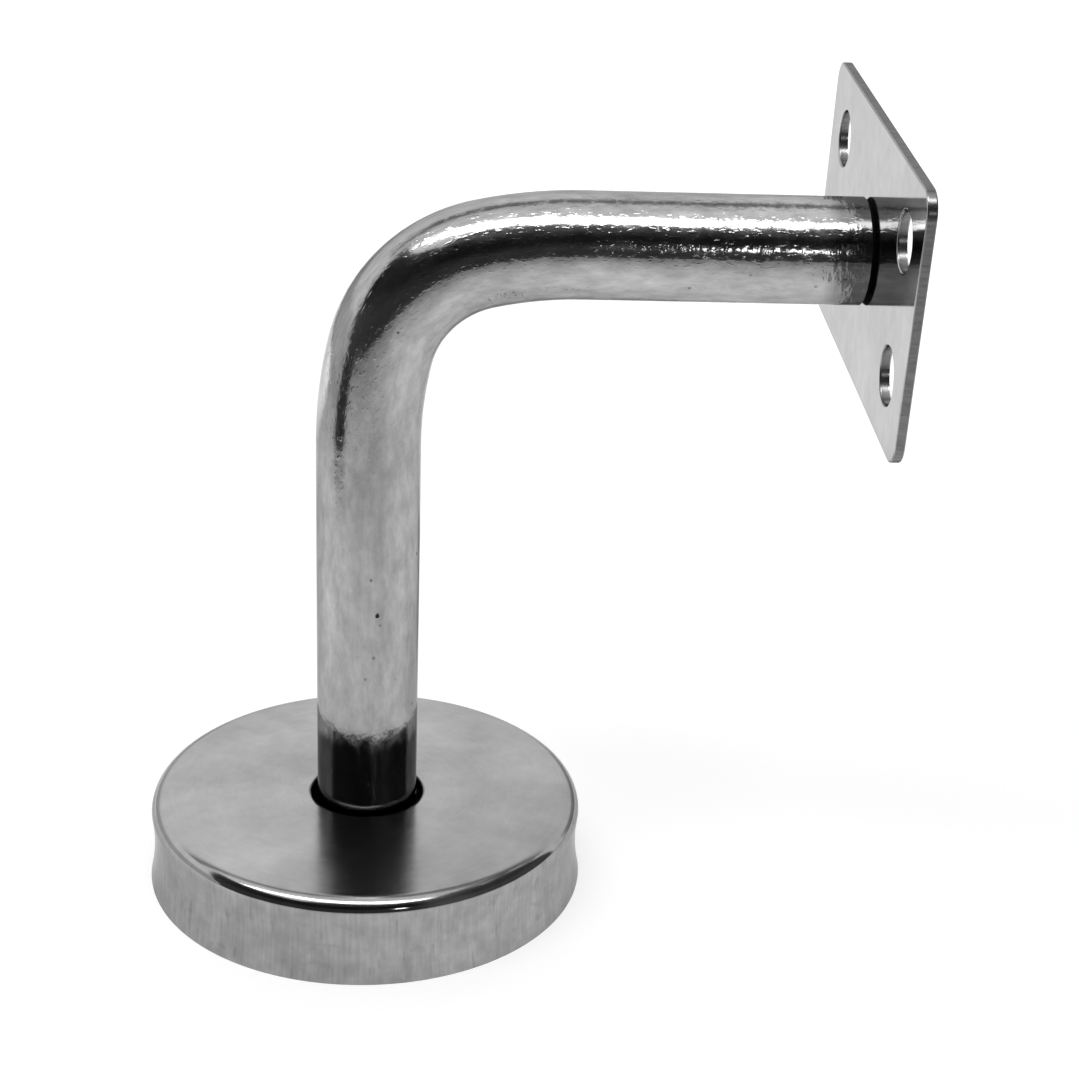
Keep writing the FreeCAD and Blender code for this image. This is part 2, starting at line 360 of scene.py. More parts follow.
def weld_section(turn):
    """Cross-section of the bead at a turn about Z: a bulged face with crescent ripples, and its corner."""
    bar, foot = BAR_RADIUS, WELD_FOOT_RADIUS
    slow, fast = WELD_WANDER_WAVES
    sunk = WELD_WANDER * half_wave(math.sin(slow * turn + WELD_WANDER_PHASE) * math.cos(fast * turn))
    outward = math.sqrt(0.5)
    section = []
    for share in steps(0.0, 1.0, WELD_FACE_STEPS):
        hump = math.sin(math.pi * share)
        ripple = half_wave(math.cos(WELD_RIPPLES * turn - WELD_CRESCENT * hump))
        sunk_share = WELD_WANDER_AT_EDGES + (1 - WELD_WANDER_AT_EDGES) * hump
        lift = hump * (WELD_BULGE + WELD_RIPPLE_HEIGHT * ripple) - sunk * sunk_share
        radius = bar + (foot - bar) * share + lift * outward
        height = WELD_TOP + (FLANGE_TOP - WELD_TOP) * share + lift * outward
        radius = min(max(radius, bar), foot)
        height = min(max(height, FLANGE_TOP), WELD_TOP)
        section.append(Vector((radius * math.cos(turn), radius * math.sin(turn), height)))
    section.append(Vector((bar * math.cos(turn), bar * math.sin(turn), FLANGE_TOP)))
    return section


def make_flange_weld():
    sections = [weld_section(turn) for turn in turns(WELD_SIDES)]
    return endless_loft("foot_weld_bead", sections, sharp_degrees=WELD_SMOOTH_BELOW)


# ---------------------------------------------------------------- nodes

def node(tree, kind, inputs=None, **options):
    """Adds a node. An input that is given a socket is linked to it, and any other gets the value."""
    made = tree.nodes.new(kind)
    for option, value in options.items():
        setattr(made, option, value)
    for name, value in (inputs or {}).items():
        if isinstance(value, bpy.types.NodeSocket):
            tree.links.new(value, made.inputs[name])
        else:
            made.inputs[name].default_value = value
    return made


def maths(tree, operation, *values):
    return node(tree, "ShaderNodeMath", dict(enumerate(values)), operation=operation).outputs[0]


def product(tree, first, *others):
    for other in others:
        first = maths(tree, "MULTIPLY", first, other)
    return first


def greatest(tree, first, *others):
    for other in others:
        first = maths(tree, "MAXIMUM", first, other)
    return first


def inverse(tree, mask):
    return maths(tree, "SUBTRACT", 1.0, mask)


def vector_maths(tree, operation, *vectors, output="Vector"):
    made = node(tree, "ShaderNodeVectorMath", dict(enumerate(vectors)), operation=operation)
    return made.outputs[output]


def measured(tree, operation, *vectors):
    """A number that an operation such as LENGTH makes of vectors."""
    return vector_maths(tree, operation, *vectors, output="Value")


def scaled(tree, vector, factors):
    return vector_maths(tree, "MULTIPLY", vector, factors)


def axis_of(tree, vector, axis):
    return node(tree, "ShaderNodeSeparateXYZ", {0: vector}).outputs[axis]


def object_place(tree):
    return node(tree, "ShaderNodeTexCoord").outputs["Object"]


def remap(tree, value, low, high, to_low=0.0, to_high=1.0):
    inputs = {"Value": value, "From Min": low, "From Max": high, "To Min": to_low, "To Max": to_high}
    return node(tree, "ShaderNodeMapRange", inputs).outputs[0]


def mixed(tree, share, first, second):
    return node(tree, "ShaderNodeMix", {0: share, 2: first, 3: second}).outputs[0]


def grey_ramp(tree, value, stops):
    """Grey by a value, where stops are (value, grey)."""
    low, high = stops[0][0], stops[-1][0]
    ramp = node(tree, "ShaderNodeValToRGB", {"Fac": remap(tree, value, low, high)})
    elements = ramp.color_ramp.elements
    while len(elements) < len(stops):
        elements.new(0.5)
    for element, (number, grey) in zip(elements, stops):
        element.position = (number - low) / (high - low)
        element.color = (grey, grey, grey, 1.0)
    return ramp.outputs["Color"]


def empty_material(name):
    material = bpy.data.materials.new(name)
    material.use_nodes = True
    material.node_tree.nodes.clear()
    return material, material.node_tree


def dress(thing, material):
    thing.data.materials.clear()
    thing.data.materials.append(material)


# ---------------------------------------------------------------- marks on steel

# The constants before each steel are written alike. A noise's kind is what pattern() or round_pattern()
# takes. A grey, a roughness or a factor on them is one number, or the two ends that a noise moves it
# between, or a ramp (from, to, result at from, result at to). Depths are in metres.

NOISE_RANGE = (0.3, 0.7)    # in which a noise's values mostly lie
SPOT_CORE = 0.5             # share of a spot's radius inside its soft edge


def noise(tree, vector, scale, detail, roughness):
    inputs = {"Vector": vector, "Scale": scale, "Detail": detail, "Roughness": roughness}
    return node(tree, "ShaderNodeTexNoise", inputs).outputs["Fac"]


def pattern(tree, vector, kind):
    """Noise of a kind (factors on X, Y and Z, scale, detail, roughness). A small factor stretches it."""
    factors, scale, detail, roughness = kind
    return noise(tree, scaled(tree, vector, factors), scale, detail, roughness)


def round_pattern(tree, value, around, kind):
    """Noise on a round part, of a kind (scale by a value such as height, scale by the direction from the
    axis, detail, roughness)."""
    value_scale, around_scale, detail, roughness = kind
    value_part = node(tree, "ShaderNodeCombineXYZ", {"Z": product(tree, value, value_scale)}).outputs[0]
    around_part = scaled(tree, around, (around_scale, around_scale, around_scale))
    return noise(tree, vector_maths(tree, "ADD", value_part, around_part), 1.0, detail, roughness)


def spots(tree, vector, scale, radius, share):
    """1 inside scattered round spots. Their radius is in cells of 1 / scale metres, and that share of the
    cells has one."""
    cells = node(tree, "ShaderNodeTexVoronoi", {"Vector": vector, "Scale": scale})
    round_mask = remap(tree, cells.outputs["Distance"], radius * SPOT_CORE, radius, 1.0, 0.0)
    chosen = maths(tree, "LESS_THAN", cells.outputs["Color"], share)
    return product(tree, round_mask, chosen)


def varied(tree, value, ends):
    """From one end to the other as a noise goes through its range."""
    return remap(tree, value, *NOISE_RANGE, *ends)


def where(tree, mask, factor):
    """The factor where a mask is 1, and 1 where it is 0."""
    return remap(tree, mask, 0.0, 1.0, 1.0, factor)


def relief(tree, *layers):
    """Normal of a surface with layers of marks, each a height from 0 to 1 and its depth in metres."""
    normal = None
    for height, depth in layers:
        inputs = {"Height": height, "Distance": depth}
        if normal is not None:
            inputs["Normal"] = normal
        normal = node(tree, "ShaderNodeBump", inputs).outputs[0]
    return normal


def steel(name, edge_tint):
    """Metal material, its node tree and its shader. Reflections near the outline are dimmed by the tint."""
    material, tree = empty_material(name)
    tint = (edge_tint, edge_tint, edge_tint, 1.0)
    shader = node(tree, "ShaderNodeBsdfPrincipled", {"Metallic": 1.0, "Specular Tint": tint})
    node(tree, "ShaderNodeOutputMaterial", {"Surface": shader.outputs[0]})
    return material, tree, shader


def finish_steel(tree, shader, grey, roughness, normal):
    tree.links.new(grey, shader.inputs["Base Color"])
    tree.links.new(roughness, shader.inputs["Roughness"])
    tree.links.new(normal, shader.inputs["Normal"])


# ---------------------------------------------------------------- polished bar

BAR_EDGE_TINT = 0.6
BAR_CLOUD = ((1, 1, 0.35), 110, 3, 0.55)
BAR_MOTTLE = ((1, 1, 0.4), 600, 3, 0.65)
BAR_DRAG = ((1, 1, 0.08), 2000, 2, 0.6)
BAR_PEEL = ((1, 1, 0.7), 560, 2, 0.5)
BAR_FLECKS = ((1, 1, 0.5), 2000, 2, 0.5)
BAR_CHATTER = ((0.3, 0.3, 1), 1300, 1, 0.5)
BAR_PITS = (240, 0.085, 0.5)                            # scale, radius in cells, share of cells
SMALL_PIT_DEPTH = 0.5                                   # beside the deep pit's
DEEP_PIT = (1.6 * MM, -7.8 * MM, 48.4 * MM)             # on the bar before it is bent
DEEP_PIT_SLOPE = (0.216 * MM, 0.432 * MM, 1.0, 0.0)     # by distance from its centre
FLECK_RANGE = (0.56, 0.74)

# Along the bar before it is bent, from the wall
BAR_FLECKED = (55 * MM, 85 * MM, 0.2, 1.0)
BAR_CHATTERED = (124 * MM, 150 * MM)
# Painted light: the bar is painted brighter past the bend, a painted brighter reflection
BAR_PAINTED_LIGHT = (70 * MM, 110 * MM, 1.0, 1.09)
# Painted shade: the bar is darker where it goes down into the cover's hole
BAR_FOOT_PAINTED_SHADE = (13.5 * MM, 16 * MM, 0.35, 1.0)
FOOT_TINT_TOP = 29 * MM
PLATE_TINT_START = 162.5 * MM
TINT_FADE = 2 * MM
TINT_WANDER = 4 * MM

# The chamfer at the joint between the bar's shoulder and the plate, painted near black as painted shade in
# the groove
CREVICE_FADE = 0.1 * MM                                 # along the bar
CREVICE_START = (SPIGOT_RADIUS + 0.1 * MM, SPIGOT_RADIUS + 0.4 * MM)    # by distance from the bar's axis

BAR_GREY = (0.35, 0.50)
BAR_MOTTLE_FACTOR = (0.80, 1.15)
BAR_DRAG_FACTOR = (0.96, 1.03)
# Painted shade: the pits are painted dark
PIT_PAINTED_SHADE = 0.08
FOOT_TINT_FACTOR = 0.25
PLATE_TINT_FACTOR = 0.6
# Painted shade: the chamfer at the joint with the plate is near black
CREVICE_PAINTED_SHADE = 0.03
BAR_ROUGHNESS = (0.35, 0.7, 0.09, 0.15)                 # by the mottle
BAR_DRAG_ROUGHNESS = (0.4, 0.8, 0.0, 0.04)              # added, by the drag marks
CREVICE_ROUGHNESS = 0.5
GROUND_END_ROUGHNESS = 0.28
PEEL_DEPTH = 40e-6
DRAG_DEPTH = 5e-6
FLECK_DEPTH = 17e-6
CHATTER_DEPTH = 60e-6
PIT_DEPTH = 60e-6


def bar_steel():
    """Hand-polished bar: orange peel, drag marks along it, flecks and chatter towards the plate, a few pits
    and a dark heat tint next to both welds. The pits and the bar where it goes into the cover are painted
    darker, painted shade, and the bar past the bend is painted brighter, a painted reflection. Its spigot
    ends in a ground face, and beside that spigot the chamfer at the joint with the plate is painted black,
    painted shade in the groove."""
    material, tree, shader = steel("polished_bar_steel", BAR_EDGE_TINT)
    straight = node(tree, "ShaderNodeAttribute", attribute_name="straight").outputs["Vector"]
    along = axis_of(tree, straight, "Z")
    from_axis = measured(tree, "LENGTH", scaled(tree, straight, (1, 1, 0)))

    chamfer_start = axis_stations()[-1][3]
    at_plate = remap(tree, along, chamfer_start, chamfer_start + CREVICE_FADE)
    beside_spigot = remap(tree, from_axis, *CREVICE_START)
    shaded_crevice = product(tree, at_plate, beside_spigot)
    ground_end = product(tree, at_plate, inverse(tree, beside_spigot))
    polished = inverse(tree, ground_end)

    cloud = pattern(tree, straight, BAR_CLOUD)
    mottle = pattern(tree, straight, BAR_MOTTLE)
    drag = pattern(tree, straight, BAR_DRAG)
    peel = pattern(tree, straight, BAR_PEEL)
    flecks = remap(tree, pattern(tree, straight, BAR_FLECKS), *FLECK_RANGE)
    flecks = product(tree, flecks, remap(tree, along, *BAR_FLECKED))
    chatter = pattern(tree, straight, BAR_CHATTER)
    chatter = product(tree, chatter, remap(tree, along, *BAR_CHATTERED), polished)
    deep_pit = remap(tree, measured(tree, "DISTANCE", straight, DEEP_PIT), *DEEP_PIT_SLOPE)
    pits = maths(tree, "MULTIPLY_ADD", spots(tree, straight, *BAR_PITS), SMALL_PIT_DEPTH, deep_pit)
    tint_place = maths(tree, "MULTIPLY_ADD", mottle, TINT_WANDER, along)
    foot_tint = remap(tree, tint_place, FOOT_TINT_TOP, FOOT_TINT_TOP - TINT_FADE)
    plate_tint = remap(tree, tint_place, PLATE_TINT_START, PLATE_TINT_START + TINT_FADE)
    plate_tint = product(tree, plate_tint, polished)

    # This grey holds painted shade on the pits and where the bar goes into the cover, and a painted
    # brighter reflection past the bend
    grey = product(tree, varied(tree, cloud, BAR_GREY), varied(tree, mottle, BAR_MOTTLE_FACTOR),
                   remap(tree, along, *BAR_PAINTED_LIGHT), varied(tree, drag, BAR_DRAG_FACTOR),
                   where(tree, pits, PIT_PAINTED_SHADE), where(tree, foot_tint, FOOT_TINT_FACTOR),
                   where(tree, plate_tint, PLATE_TINT_FACTOR), remap(tree, along, *BAR_FOOT_PAINTED_SHADE))
    # Painted shade in the joint with the plate
    grey = mixed(tree, shaded_crevice, grey, CREVICE_PAINTED_SHADE)
    roughness = remap(tree, mottle, *BAR_ROUGHNESS)
    roughness = maths(tree, "ADD", roughness, remap(tree, drag, *BAR_DRAG_ROUGHNESS))
    roughness = mixed(tree, shaded_crevice, roughness, CREVICE_ROUGHNESS)
    roughness = mixed(tree, ground_end, roughness, GROUND_END_ROUGHNESS)
    normal = relief(tree, (peel, PEEL_DEPTH), (drag, DRAG_DEPTH), (flecks, FLECK_DEPTH),
                    (chatter, CHATTER_DEPTH), (inverse(tree, pits), PIT_DEPTH))
    finish_steel(tree, shader, grey, roughness, normal)
    return material


# ---------------------------------------------------------------- satin cover

COVER_EDGE_TINT = 0.7
COVER_CLOUD = ((1, 1, 1), 75, 5, 0.55)
COVER_MOTTLE = ((1, 1, 1), 330, 3, 0.6)
COVER_SMUDGES = ((1, 1, 1.6), 260, 2, 0.5)
COVER_RINGS = (3600, 5, 4, 0.65)                        # by radius, around, detail, roughness
COVER_LINES = (130, 70, 4, 0.6)                         # by height, around, detail, roughness
COVER_TICKS = (220, 34, 1, 0.5)                         # by height, around, detail, roughness
SMUDGE_RANGE = (0.62, 0.74)
TICK_RANGE = (0.66, 0.74)
COVER_TOP_RANGE = (COVER_HEIGHT - COVER_SHOULDER_RADIUS, COVER_HEIGHT - 0.1 * MM)

COVER_GREY = (0.38, 0.50)
WALL_MOTTLE_FACTOR = (0.84, 1.09)
TOP_MOTTLE_FACTOR = (0.96, 1.04)
WALL_LINE_FACTOR = (0.86, 1.08)
TOP_RING_FACTOR = (0.95, 1.04)
TICK_FACTOR = 0.84
SMUDGE_FACTOR = 0.72
WALL_SMUDGES, TOP_SMUDGES = 0.55, 0.12
# Painted shade: the collar is darker round the hole, towards the bar
COLLAR_PAINTED_SHADE = (8.8 * MM, 9.1 * MM, 0.3, 1.0)           # by radius
# Painted shade: the top is darker towards the front right, and the wall darker where it faces away from +X
TOP_SHADED_TOWARDS = (0.64, -0.77, 0.0)
TOP_PAINTED_SHADE = (8 * MM, 26 * MM, 1.0, 0.8)                  # by distance from the axis that way
WALL_LIT_TOWARDS = (1, 0, 0)
WALL_PAINTED_SHADE = (0.2, 0.8, 0.83, 0.96)                      # by how far the wall faces that way
WALL_ROUGHNESS, TOP_ROUGHNESS = 0.16, 0.19
MARK_ROUGHNESS = (0.35, 0.75, -0.02, 0.05)              # added, by the rings and lines
SHOULDER_POLISH = -0.36                                 # added, by a mask that is 0.25 in mid-shoulder
COVER_CLOUD_DEPTH = 10e-6
COVER_MARK_DEPTH = 0.5e-6


def cover_steel():
    """Drawn cup: fine rings on its top, draw marks and short ticks down its wall, faint smudges, and a
    smoother polish on its shoulder. Painted shade darkens its collar round the hole and one side of its
    wall and top."""
    material, tree, shader = steel("satin_cover_steel", COVER_EDGE_TINT)
    place = object_place(tree)
    height = axis_of(tree, place, "Z")
    level = scaled(tree, place, (1, 1, 0))
    radius = measured(tree, "LENGTH", level)
    around = vector_maths(tree, "NORMALIZE", level)
    top = remap(tree, height, *COVER_TOP_RANGE)
    shoulder = product(tree, top, inverse(tree, top))

    cloud = pattern(tree, place, COVER_CLOUD)
    mottle = pattern(tree, place, COVER_MOTTLE)
    smudges = remap(tree, pattern(tree, place, COVER_SMUDGES), *SMUDGE_RANGE)
    smudges = product(tree, smudges, mixed(tree, top, WALL_SMUDGES, TOP_SMUDGES))
    rings = round_pattern(tree, radius, around, COVER_RINGS)
    lines = round_pattern(tree, height, around, COVER_LINES)
    ticks = remap(tree, round_pattern(tree, height, around, COVER_TICKS), *TICK_RANGE)
    ticks = product(tree, ticks, inverse(tree, top))
    marks = mixed(tree, top, lines, rings)

    # Painted shade to one side of the wall and of the top
    wall_shade = remap(tree, measured(tree, "DOT_PRODUCT", around, WALL_LIT_TOWARDS), *WALL_PAINTED_SHADE)
    top_shade = remap(tree, measured(tree, "DOT_PRODUCT", place, TOP_SHADED_TOWARDS), *TOP_PAINTED_SHADE)
    painted_shade = mixed(tree, top, wall_shade, top_shade)
    mottling = mixed(tree, top, varied(tree, mottle, WALL_MOTTLE_FACTOR),
                     varied(tree, mottle, TOP_MOTTLE_FACTOR))
    scores = mixed(tree, top, varied(tree, lines, WALL_LINE_FACTOR), varied(tree, rings, TOP_RING_FACTOR))
    # This grey holds painted shade round the collar and to one side of the wall and top
    grey = product(tree, varied(tree, cloud, COVER_GREY), product(tree, mottling, scores),
                   where(tree, ticks, TICK_FACTOR), remap(tree, radius, *COLLAR_PAINTED_SHADE), painted_shade,
                   where(tree, smudges, SMUDGE_FACTOR))
    roughness = mixed(tree, top, WALL_ROUGHNESS, TOP_ROUGHNESS)
    roughness = maths(tree, "ADD", roughness, remap(tree, marks, *MARK_ROUGHNESS))
    roughness = maths(tree, "MULTIPLY_ADD", shoulder, SHOULDER_POLISH, roughness)
    normal = relief(tree, (cloud, COVER_CLOUD_DEPTH), (marks, COVER_MARK_DEPTH))
    finish_steel(tree, shader, grey, roughness, normal)
    return material


# ---------------------------------------------------------------- polished rail plate

SHEET_EDGE_TINT = 0.52
SHEET_CLOUD = ((1, 1, 1), 90, 4, 0.55)
SHEET_MOTTLE = ((1, 1, 1), 420, 3, 0.6)
SHEET_SCRATCHES = ((1, 1, 0.05), 2600, 3, 0.6)
SHEET_SHEAR = ((0.15, 1, 1), 2200, 3, 0.6)
SHEET_SPECKS = (300, 0.06, 0.25)                        # scale, radius in cells, share of cells
SHEET_EDGE_FADE = (0.20 * MM, 0.05 * MM)                # under each face

SHEET_GREY = (0.49, 0.59)
SHEET_MOTTLE_FACTOR = (0.95, 1.04)
SHEET_SCRATCH_FACTOR = (0.95, 1.03)
SHEET_SPECK_FACTOR = 0.55
SHEET_SIDE_GREY = (0.18, 0.28)
SHEET_ROUGHNESS = (0.06, 0.1)
SHEET_SIDE_ROUGHNESS = 0.26
SHEET_CLOUD_DEPTH = 5e-6
SHEET_MARK_DEPTH = 0.5e-6


def sheet_steel():
    """Polished plate: a soft mirror with fine scratches and specks, and duller sheared sides."""
    material, tree, shader = steel("polished_sheet_steel", SHEET_EDGE_TINT)
    place = object_place(tree)
    across = axis_of(tree, place, "X")
    from_middle = maths(tree, "ABSOLUTE", maths(tree, "SUBTRACT", across, (REACH + PLATE_BACK) / 2))
    half = (PLATE_BACK - REACH) / 2
    face = remap(tree, from_middle, half - SHEET_EDGE_FADE[0], half - SHEET_EDGE_FADE[1])

    cloud = pattern(tree, place, SHEET_CLOUD)
    mottle = pattern(tree, place, SHEET_MOTTLE)
    scratches = pattern(tree, place, SHEET_SCRATCHES)
    shear = pattern(tree, place, SHEET_SHEAR)
    specks = spots(tree, place, *SHEET_SPECKS)
    marks = mixed(tree, face, shear, scratches)

    grey = product(tree, varied(tree, cloud, SHEET_GREY), varied(tree, mottle, SHEET_MOTTLE_FACTOR),
                   varied(tree, scratches, SHEET_SCRATCH_FACTOR), where(tree, specks, SHEET_SPECK_FACTOR))
    grey = mixed(tree, face, varied(tree, shear, SHEET_SIDE_GREY), grey)
    roughness = mixed(tree, face, SHEET_SIDE_ROUGHNESS, varied(tree, cloud, SHEET_ROUGHNESS))
    normal = relief(tree, (cloud, SHEET_CLOUD_DEPTH), (marks, SHEET_MARK_DEPTH))
    finish_steel(tree, shader, grey, roughness, normal)
    return material


# ---------------------------------------------------------------- wall flange and welds

MILL_EDGE_TINT = 0.9
MILL_GRAIN = ((0.08, 1, 1), 1900, 4, 0.6)
MILL_MOTTLE = ((1, 1, 1), 300, 5, 0.6)
MILL_GREY = (0.40, 0.52)
MILL_GRAIN_FACTOR = (0.92, 1.05)
MILL_ROUGHNESS = (0.34, 0.46)
MILL_MOTTLE_DEPTH = 8e-6
MILL_GRAIN_DEPTH = 2e-6

BEAD_EDGE_TINT = 0.8
BEAD_HEAT = ((1, 1, 1), 220, 3, 0.5)
BEAD_GRAIN = ((1, 1, 1), 2500, 3, 0.6)
BEAD_COLOURS = ((0.35, (0.42, 0.36, 0.27, 1.0)), (0.65, (0.47, 0.47, 0.48, 1.0)))   # by the heat
BEAD_ROUGHNESS = (0.22, 0.36)
BEAD_DEPTH = 3e-6

GROUND_EDGE_TINT = 0.85
GROUND_LINES = ((1, 0.07, 1), 3200, 4, 0.7)
GROUND_GREY = (0.38, 0.52)
GROUND_ROUGHNESS = (0.22, 0.38)
GROUND_DEPTH = 3e-6


def mill_steel():
    """Unpolished plate: rolled grain one way, mottled by pickling."""
    material, tree, shader = steel("mill_plate_steel", MILL_EDGE_TINT)
    place = object_place(tree)
    grain = pattern(tree, place, MILL_GRAIN)
    mottle = pattern(tree, place, MILL_MOTTLE)
    grey = product(tree, varied(tree, mottle, MILL_GREY), varied(tree, grain, MILL_GRAIN_FACTOR))
    normal = relief(tree, (mottle, MILL_MOTTLE_DEPTH), (grain, MILL_GRAIN_DEPTH))
    finish_steel(tree, shader, grey, varied(tree, mottle, MILL_ROUGHNESS), normal)
    return material


def weld_steel():
    """Weld bead, with a faint straw and grey heat tint."""
    material, tree, shader = steel("weld_bead_steel", BEAD_EDGE_TINT)
    place = object_place(tree)
    heat = node(tree, "ShaderNodeValToRGB", {"Fac": pattern(tree, place, BEAD_HEAT)})
    for element, (position, colour) in zip(heat.color_ramp.elements, BEAD_COLOURS):
        element.position = position
        element.color = colour
    grain = pattern(tree, place, BEAD_GRAIN)
    normal = relief(tree, (grain, BEAD_DEPTH))
    finish_steel(tree, shader, heat.outputs["Color"], varied(tree, grain, BEAD_ROUGHNESS), normal)
    return material


def ground_steel():
    """Weld ground flush: coarse parallel grinding lines."""
    material, tree, shader = steel("ground_weld_steel", GROUND_EDGE_TINT)
    lines = pattern(tree, object_place(tree), GROUND_LINES)
    grey = varied(tree, lines, GROUND_GREY)
    roughness = varied(tree, lines, GROUND_ROUGHNESS)
    finish_steel(tree, shader, grey, roughness, relief(tree, (lines, GROUND_DEPTH)))
    return material


# ---------------------------------------------------------------- studio

def azimuth_of(tree, place):
    """Degrees from the front (-Y) towards +X."""
    behind = axis_of(tree, place, "Y")
    angle = maths(tree, "ARCTAN2", axis_of(tree, place, "X"), product(tree, behind, -1.0))
    return maths(tree, "DEGREES", angle)


def flat_sheet(name, width, depth, height, facing_down=False):
    """Level rectangle between two X, between two Y, at a height."""
    (left, right), (near, far) = width, depth
    corners = [Vector((x, y, height)) for x, y in ((left, near), (right, near), (right, far), (left, far))]
    return finish_mesh(name, corners, [(0, 3, 2, 1) if facing_down else (0, 1, 2, 3)])


def make_floor():
    """White floor. What looks at it sees part glow and part light that falls on it, so a soft shadow stays
    near the object. Reflections see less of the glow, and floor that is greyer in front, far out to the
    sides and at the back right, and dark at the front left."""
    edges = (-FLOOR_HALF_SIDE, FLOOR_HALF_SIDE)
    floor = flat_sheet("floor", edges, edges, 0.0)
    material, tree = empty_material("white_floor")
    rays = node(tree, "ShaderNodeLightPath").outputs
    viewed = greatest(tree, rays["Is Camera Ray"], rays["Is Transmission Ray"])
    mirrored = rays["Is Glossy Ray"]
    place = object_place(tree)
    distance = measured(tree, "LENGTH", place)
    azimuth = azimuth_of(tree, place)

    glow_share = maths(tree, "MULTIPLY_ADD", viewed, remap(tree, distance, *FLOOR_GLOW_VIEWED),
                       product(tree, mirrored, FLOOR_GLOW_MIRRORED))
    paper = node(tree, "ShaderNodeBsdfDiffuse", {"Color": FLOOR_PAPER}).outputs[0]
    glow = node(tree, "ShaderNodeEmission", {"Strength": FLOOR_GLOW}).outputs[0]
    white = node(tree, "ShaderNodeMixShader", {0: glow_share, 1: paper, 2: glow}).outputs[0]

    front = remap(tree, axis_of(tree, place, "Y"), *FLOOR_FRONT_SHADE)
    front_left = product(tree, remap(tree, azimuth, *FLOOR_DARK_LEFT),
                         remap(tree, azimuth, *FLOOR_DARK_RIGHT), remap(tree, distance, *FLOOR_DARK_NEAR))
    far = product(tree, remap(tree, distance, *FLOOR_FAR_SHADE),
                  remap(tree, maths(tree, "ABSOLUTE", azimuth), *FLOOR_FAR_SIDES))
    back_right = product(tree, remap(tree, distance, *FLOOR_BACK_SHADE),
                         remap(tree, azimuth, *FLOOR_BACK_SIDES))
    shade = product(tree, mirrored, greatest(tree, front, front_left, far, back_right))
    dark = node(tree, "ShaderNodeEmission", {"Strength": FLOOR_DARK_GLOW}).outputs[0]
    surface = node(tree, "ShaderNodeMixShader", {0: shade, 1: white, 2: dark}).outputs[0]
    node(tree, "ShaderNodeOutputMaterial", {"Surface": surface})
    dress(floor, material)


def glowing(name):
    """Material that only glows, its node tree, its glow node and the place on the card."""
    material, tree = empty_material(name)
    glow = node(tree, "ShaderNodeEmission")
    node(tree, "ShaderNodeOutputMaterial", {"Surface": glow.outputs[0]})
    return material, tree, glow, object_place(tree)


def flat_card_material(name, stops):
    """Card whose grey changes along Y."""
    material, tree, glow, place = glowing(name)
    tree.links.new(grey_ramp(tree, axis_of(tree, place, "Y"), stops), glow.inputs["Color"])
    return material


def round_card_material(name, operation, side_stops, height_stops):
    """Curved card whose grey is an operation on one grey by azimuth and one by height."""
    material, tree, glow, place = glowing(name)
    by_side = grey_ramp(tree, azimuth_of(tree, place), side_stops)
    by_height = grey_ramp(tree, axis_of(tree, place, "Z"), height_stops)
    tree.links.new(maths(tree, operation, by_side, by_height), glow.inputs["Color"])
    return material


def stage_card(card, material):
    dress(card, material)
    card.visible_camera = False


def round_place(degrees, radius, height):
    """Point at an azimuth."""
    angle = math.radians(degrees)
    return Vector((radius * math.sin(angle), -radius * math.cos(angle), height))


def round_card(name, radius, feet, tops, heights, step):
    """Standing card curved about the object. Its foot and its top run between two azimuths, and its top
    goes from one height to the other between the two azimuths of the step."""
    low_line, high_line = [], []
    for share in steps(0.0, 1.0, ROUND_CARD_STEPS):
        low_line.append(round_place(feet[0] + (feet[1] - feet[0]) * share, radius, 0.0))
        azimuth = tops[0] + (tops[1] - tops[0]) * share
        rise = min(max((azimuth - step[0]) / (step[1] - step[0]), 0.0), 1.0)
        high_line.append(round_place(azimuth, radius, heights[0] + (heights[1] - heights[0]) * rise))
    count = len(low_line)
    faces = [(k, k + 1, k + 1 + count, k + count) for k in range(count - 1)]
    return finish_mesh(name, low_line + high_line, faces)


def make_front_flag():
    """Black card behind the camera and round both sides, as a dark room would be."""
    flag = round_card("front_flag", FLAG_RADIUS, FLAG_FEET, FLAG_TOPS, FLAG_HEIGHTS, FLAG_STEP)
    stage_card(flag, round_card_material("black_flag", "ADD", FLAG_SIDE_GREYS, FLAG_HEIGHT_GREYS))


def make_side_walls():
    """Grey cards low at the back, one each side."""
    for name, span, greys in (("left_wall", LEFT_WALL, LEFT_WALL_GREYS),
                              ("right_wall", RIGHT_WALL, RIGHT_WALL_GREYS)):
        wall = round_card(name, WALL_RADIUS, span, span, (WALL_TOP, WALL_TOP), span)
        stage_card(wall, round_card_material(name + "_grey", "MAXIMUM", greys, WALL_HEIGHT_GREYS))


def make_back_card():
    """Bright card low behind the object, which only reflections see."""
    card = flat_sheet("back_card", BACK_CARD_WIDTH, BACK_CARD_DEPTH, BACK_CARD_HEIGHT)
    card.visible_diffuse = False
    card.visible_shadow = False
    stage_card(card, flat_card_material("bright_back_card", BACK_CARD_GREYS))


def make_ceiling_card():
    """Grey card overhead, further back than the lamp."""
    card = flat_sheet("ceiling_card", CEILING_WIDTH, CEILING_DEPTH, CEILING_HEIGHT, facing_down=True)
    stage_card(card, flat_card_material("grey_ceiling_card", CEILING_GREYS))


def turned_to(right, up, back):
    """Rotation that gives a lamp or a camera these three axes."""
    return Matrix((right, up, back)).transposed().to_4x4()


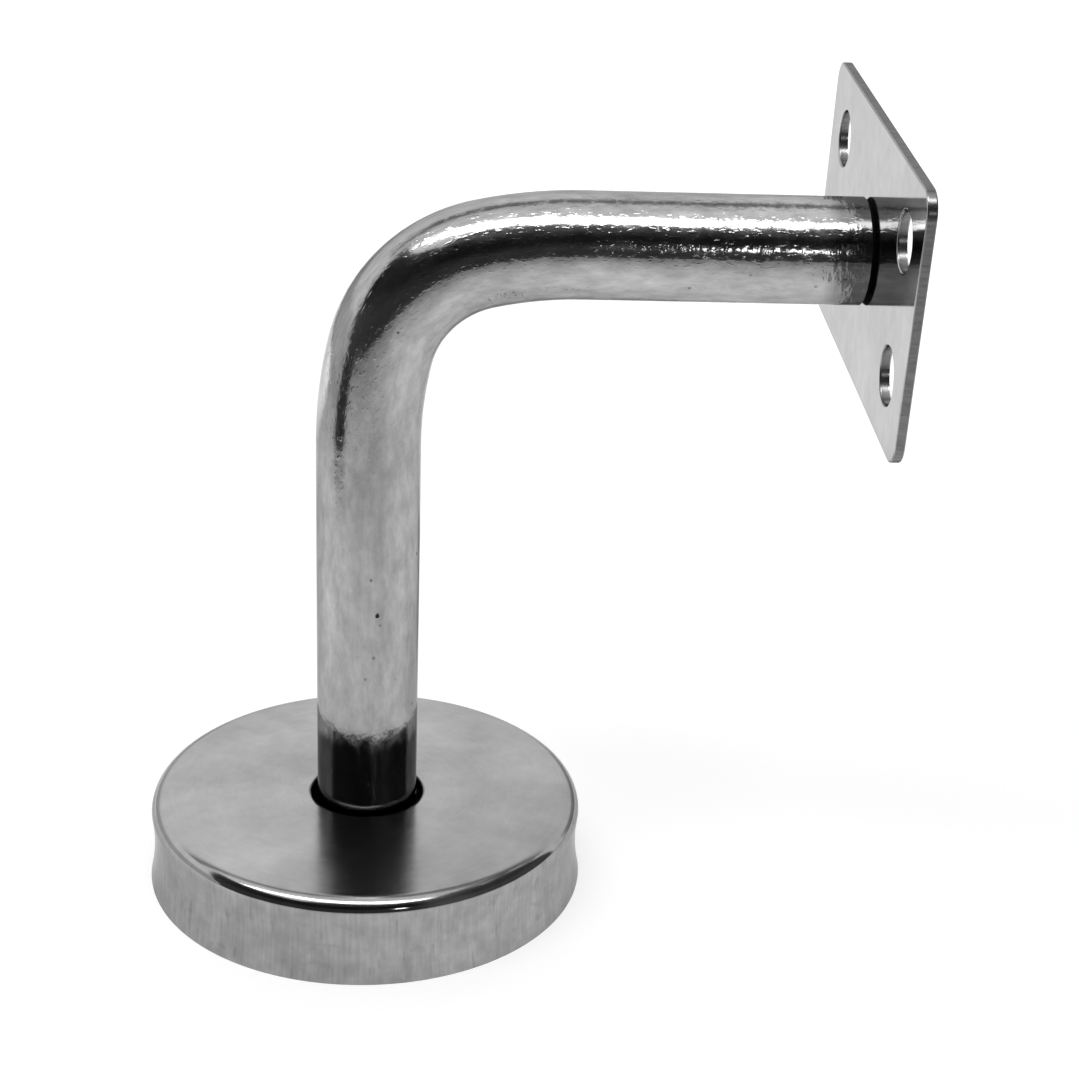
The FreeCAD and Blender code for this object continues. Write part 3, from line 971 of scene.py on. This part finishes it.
def make_lamp(name, shape, place, target, long_side, size, radiance):
    """Soft lamp, aimed at a target, of a radiance in the same measure as the white world."""
    data = bpy.data.lights.new(name, "AREA")
    data.shape = shape
    data.size, data.size_y = size
    area = size[0] * size[1] * (math.pi / 4 if shape == "ELLIPSE" else 1)
    data.energy = radiance * math.pi * area
    lamp = bpy.data.objects.new(name, data)
    bpy.context.scene.collection.objects.link(lamp)
    lamp.visible_camera = False
    back = (place - target).normalized()
    side = (long_side - back * long_side.dot(back)).normalized()
    lamp.matrix_world = Matrix.Translation(place) @ turned_to(side, back.cross(side), back)


def make_world():
    world = bpy.data.worlds.new("white_studio")
    bpy.context.scene.world = world
    world.use_nodes = True
    tree = world.node_tree
    tree.nodes.clear()
    white = node(tree, "ShaderNodeBackground", {"Color": (1.0, 1.0, 1.0, 1.0), "Strength": 1.0})
    node(tree, "ShaderNodeOutputWorld", {"Surface": white.outputs[0]})


def make_camera():
    data = bpy.data.cameras.new("camera")
    data.lens = LENS
    data.sensor_width = SENSOR
    data.clip_start, data.clip_end = CAMERA_CLIP
    camera = bpy.data.objects.new("camera", data)
    bpy.context.scene.collection.objects.link(camera)
    yaw, pitch, roll = (math.radians(a) for a in (CAMERA_YAW, CAMERA_PITCH, CAMERA_ROLL))
    forward = Vector((math.sin(yaw) * math.cos(pitch), math.cos(yaw) * math.cos(pitch), -math.sin(pitch)))
    level = Vector((math.cos(yaw), -math.sin(yaw), 0))
    right = math.cos(roll) * level + math.sin(roll) * level.cross(forward)
    turn = turned_to(right, right.cross(forward), -forward)
    camera.matrix_world = Matrix.Translation(CAMERA_PLACE) @ turn
    bpy.context.scene.camera = camera


arm = make_arm()
dress(arm, bar_steel())
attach(arm, "bracket")
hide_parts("arm")

cover = make_cover()
dress(cover, cover_steel())
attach(cover, "cover")
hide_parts("cover")

flange_weld = make_flange_weld()
dress(flange_weld, weld_steel())
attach(flange_weld, "bracket")
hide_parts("flange_weld")

dress(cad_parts["rail_plate"], sheet_steel())
dress(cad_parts["wall_flange"], mill_steel())
dress(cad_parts["plate_weld"], ground_steel())

make_world()
make_floor()
make_front_flag()
make_side_walls()
make_back_card()
make_ceiling_card()
for lamp in LAMPS:
    make_lamp(**lamp)
make_camera()
bpy.context.scene.view_settings.view_transform = "Standard"
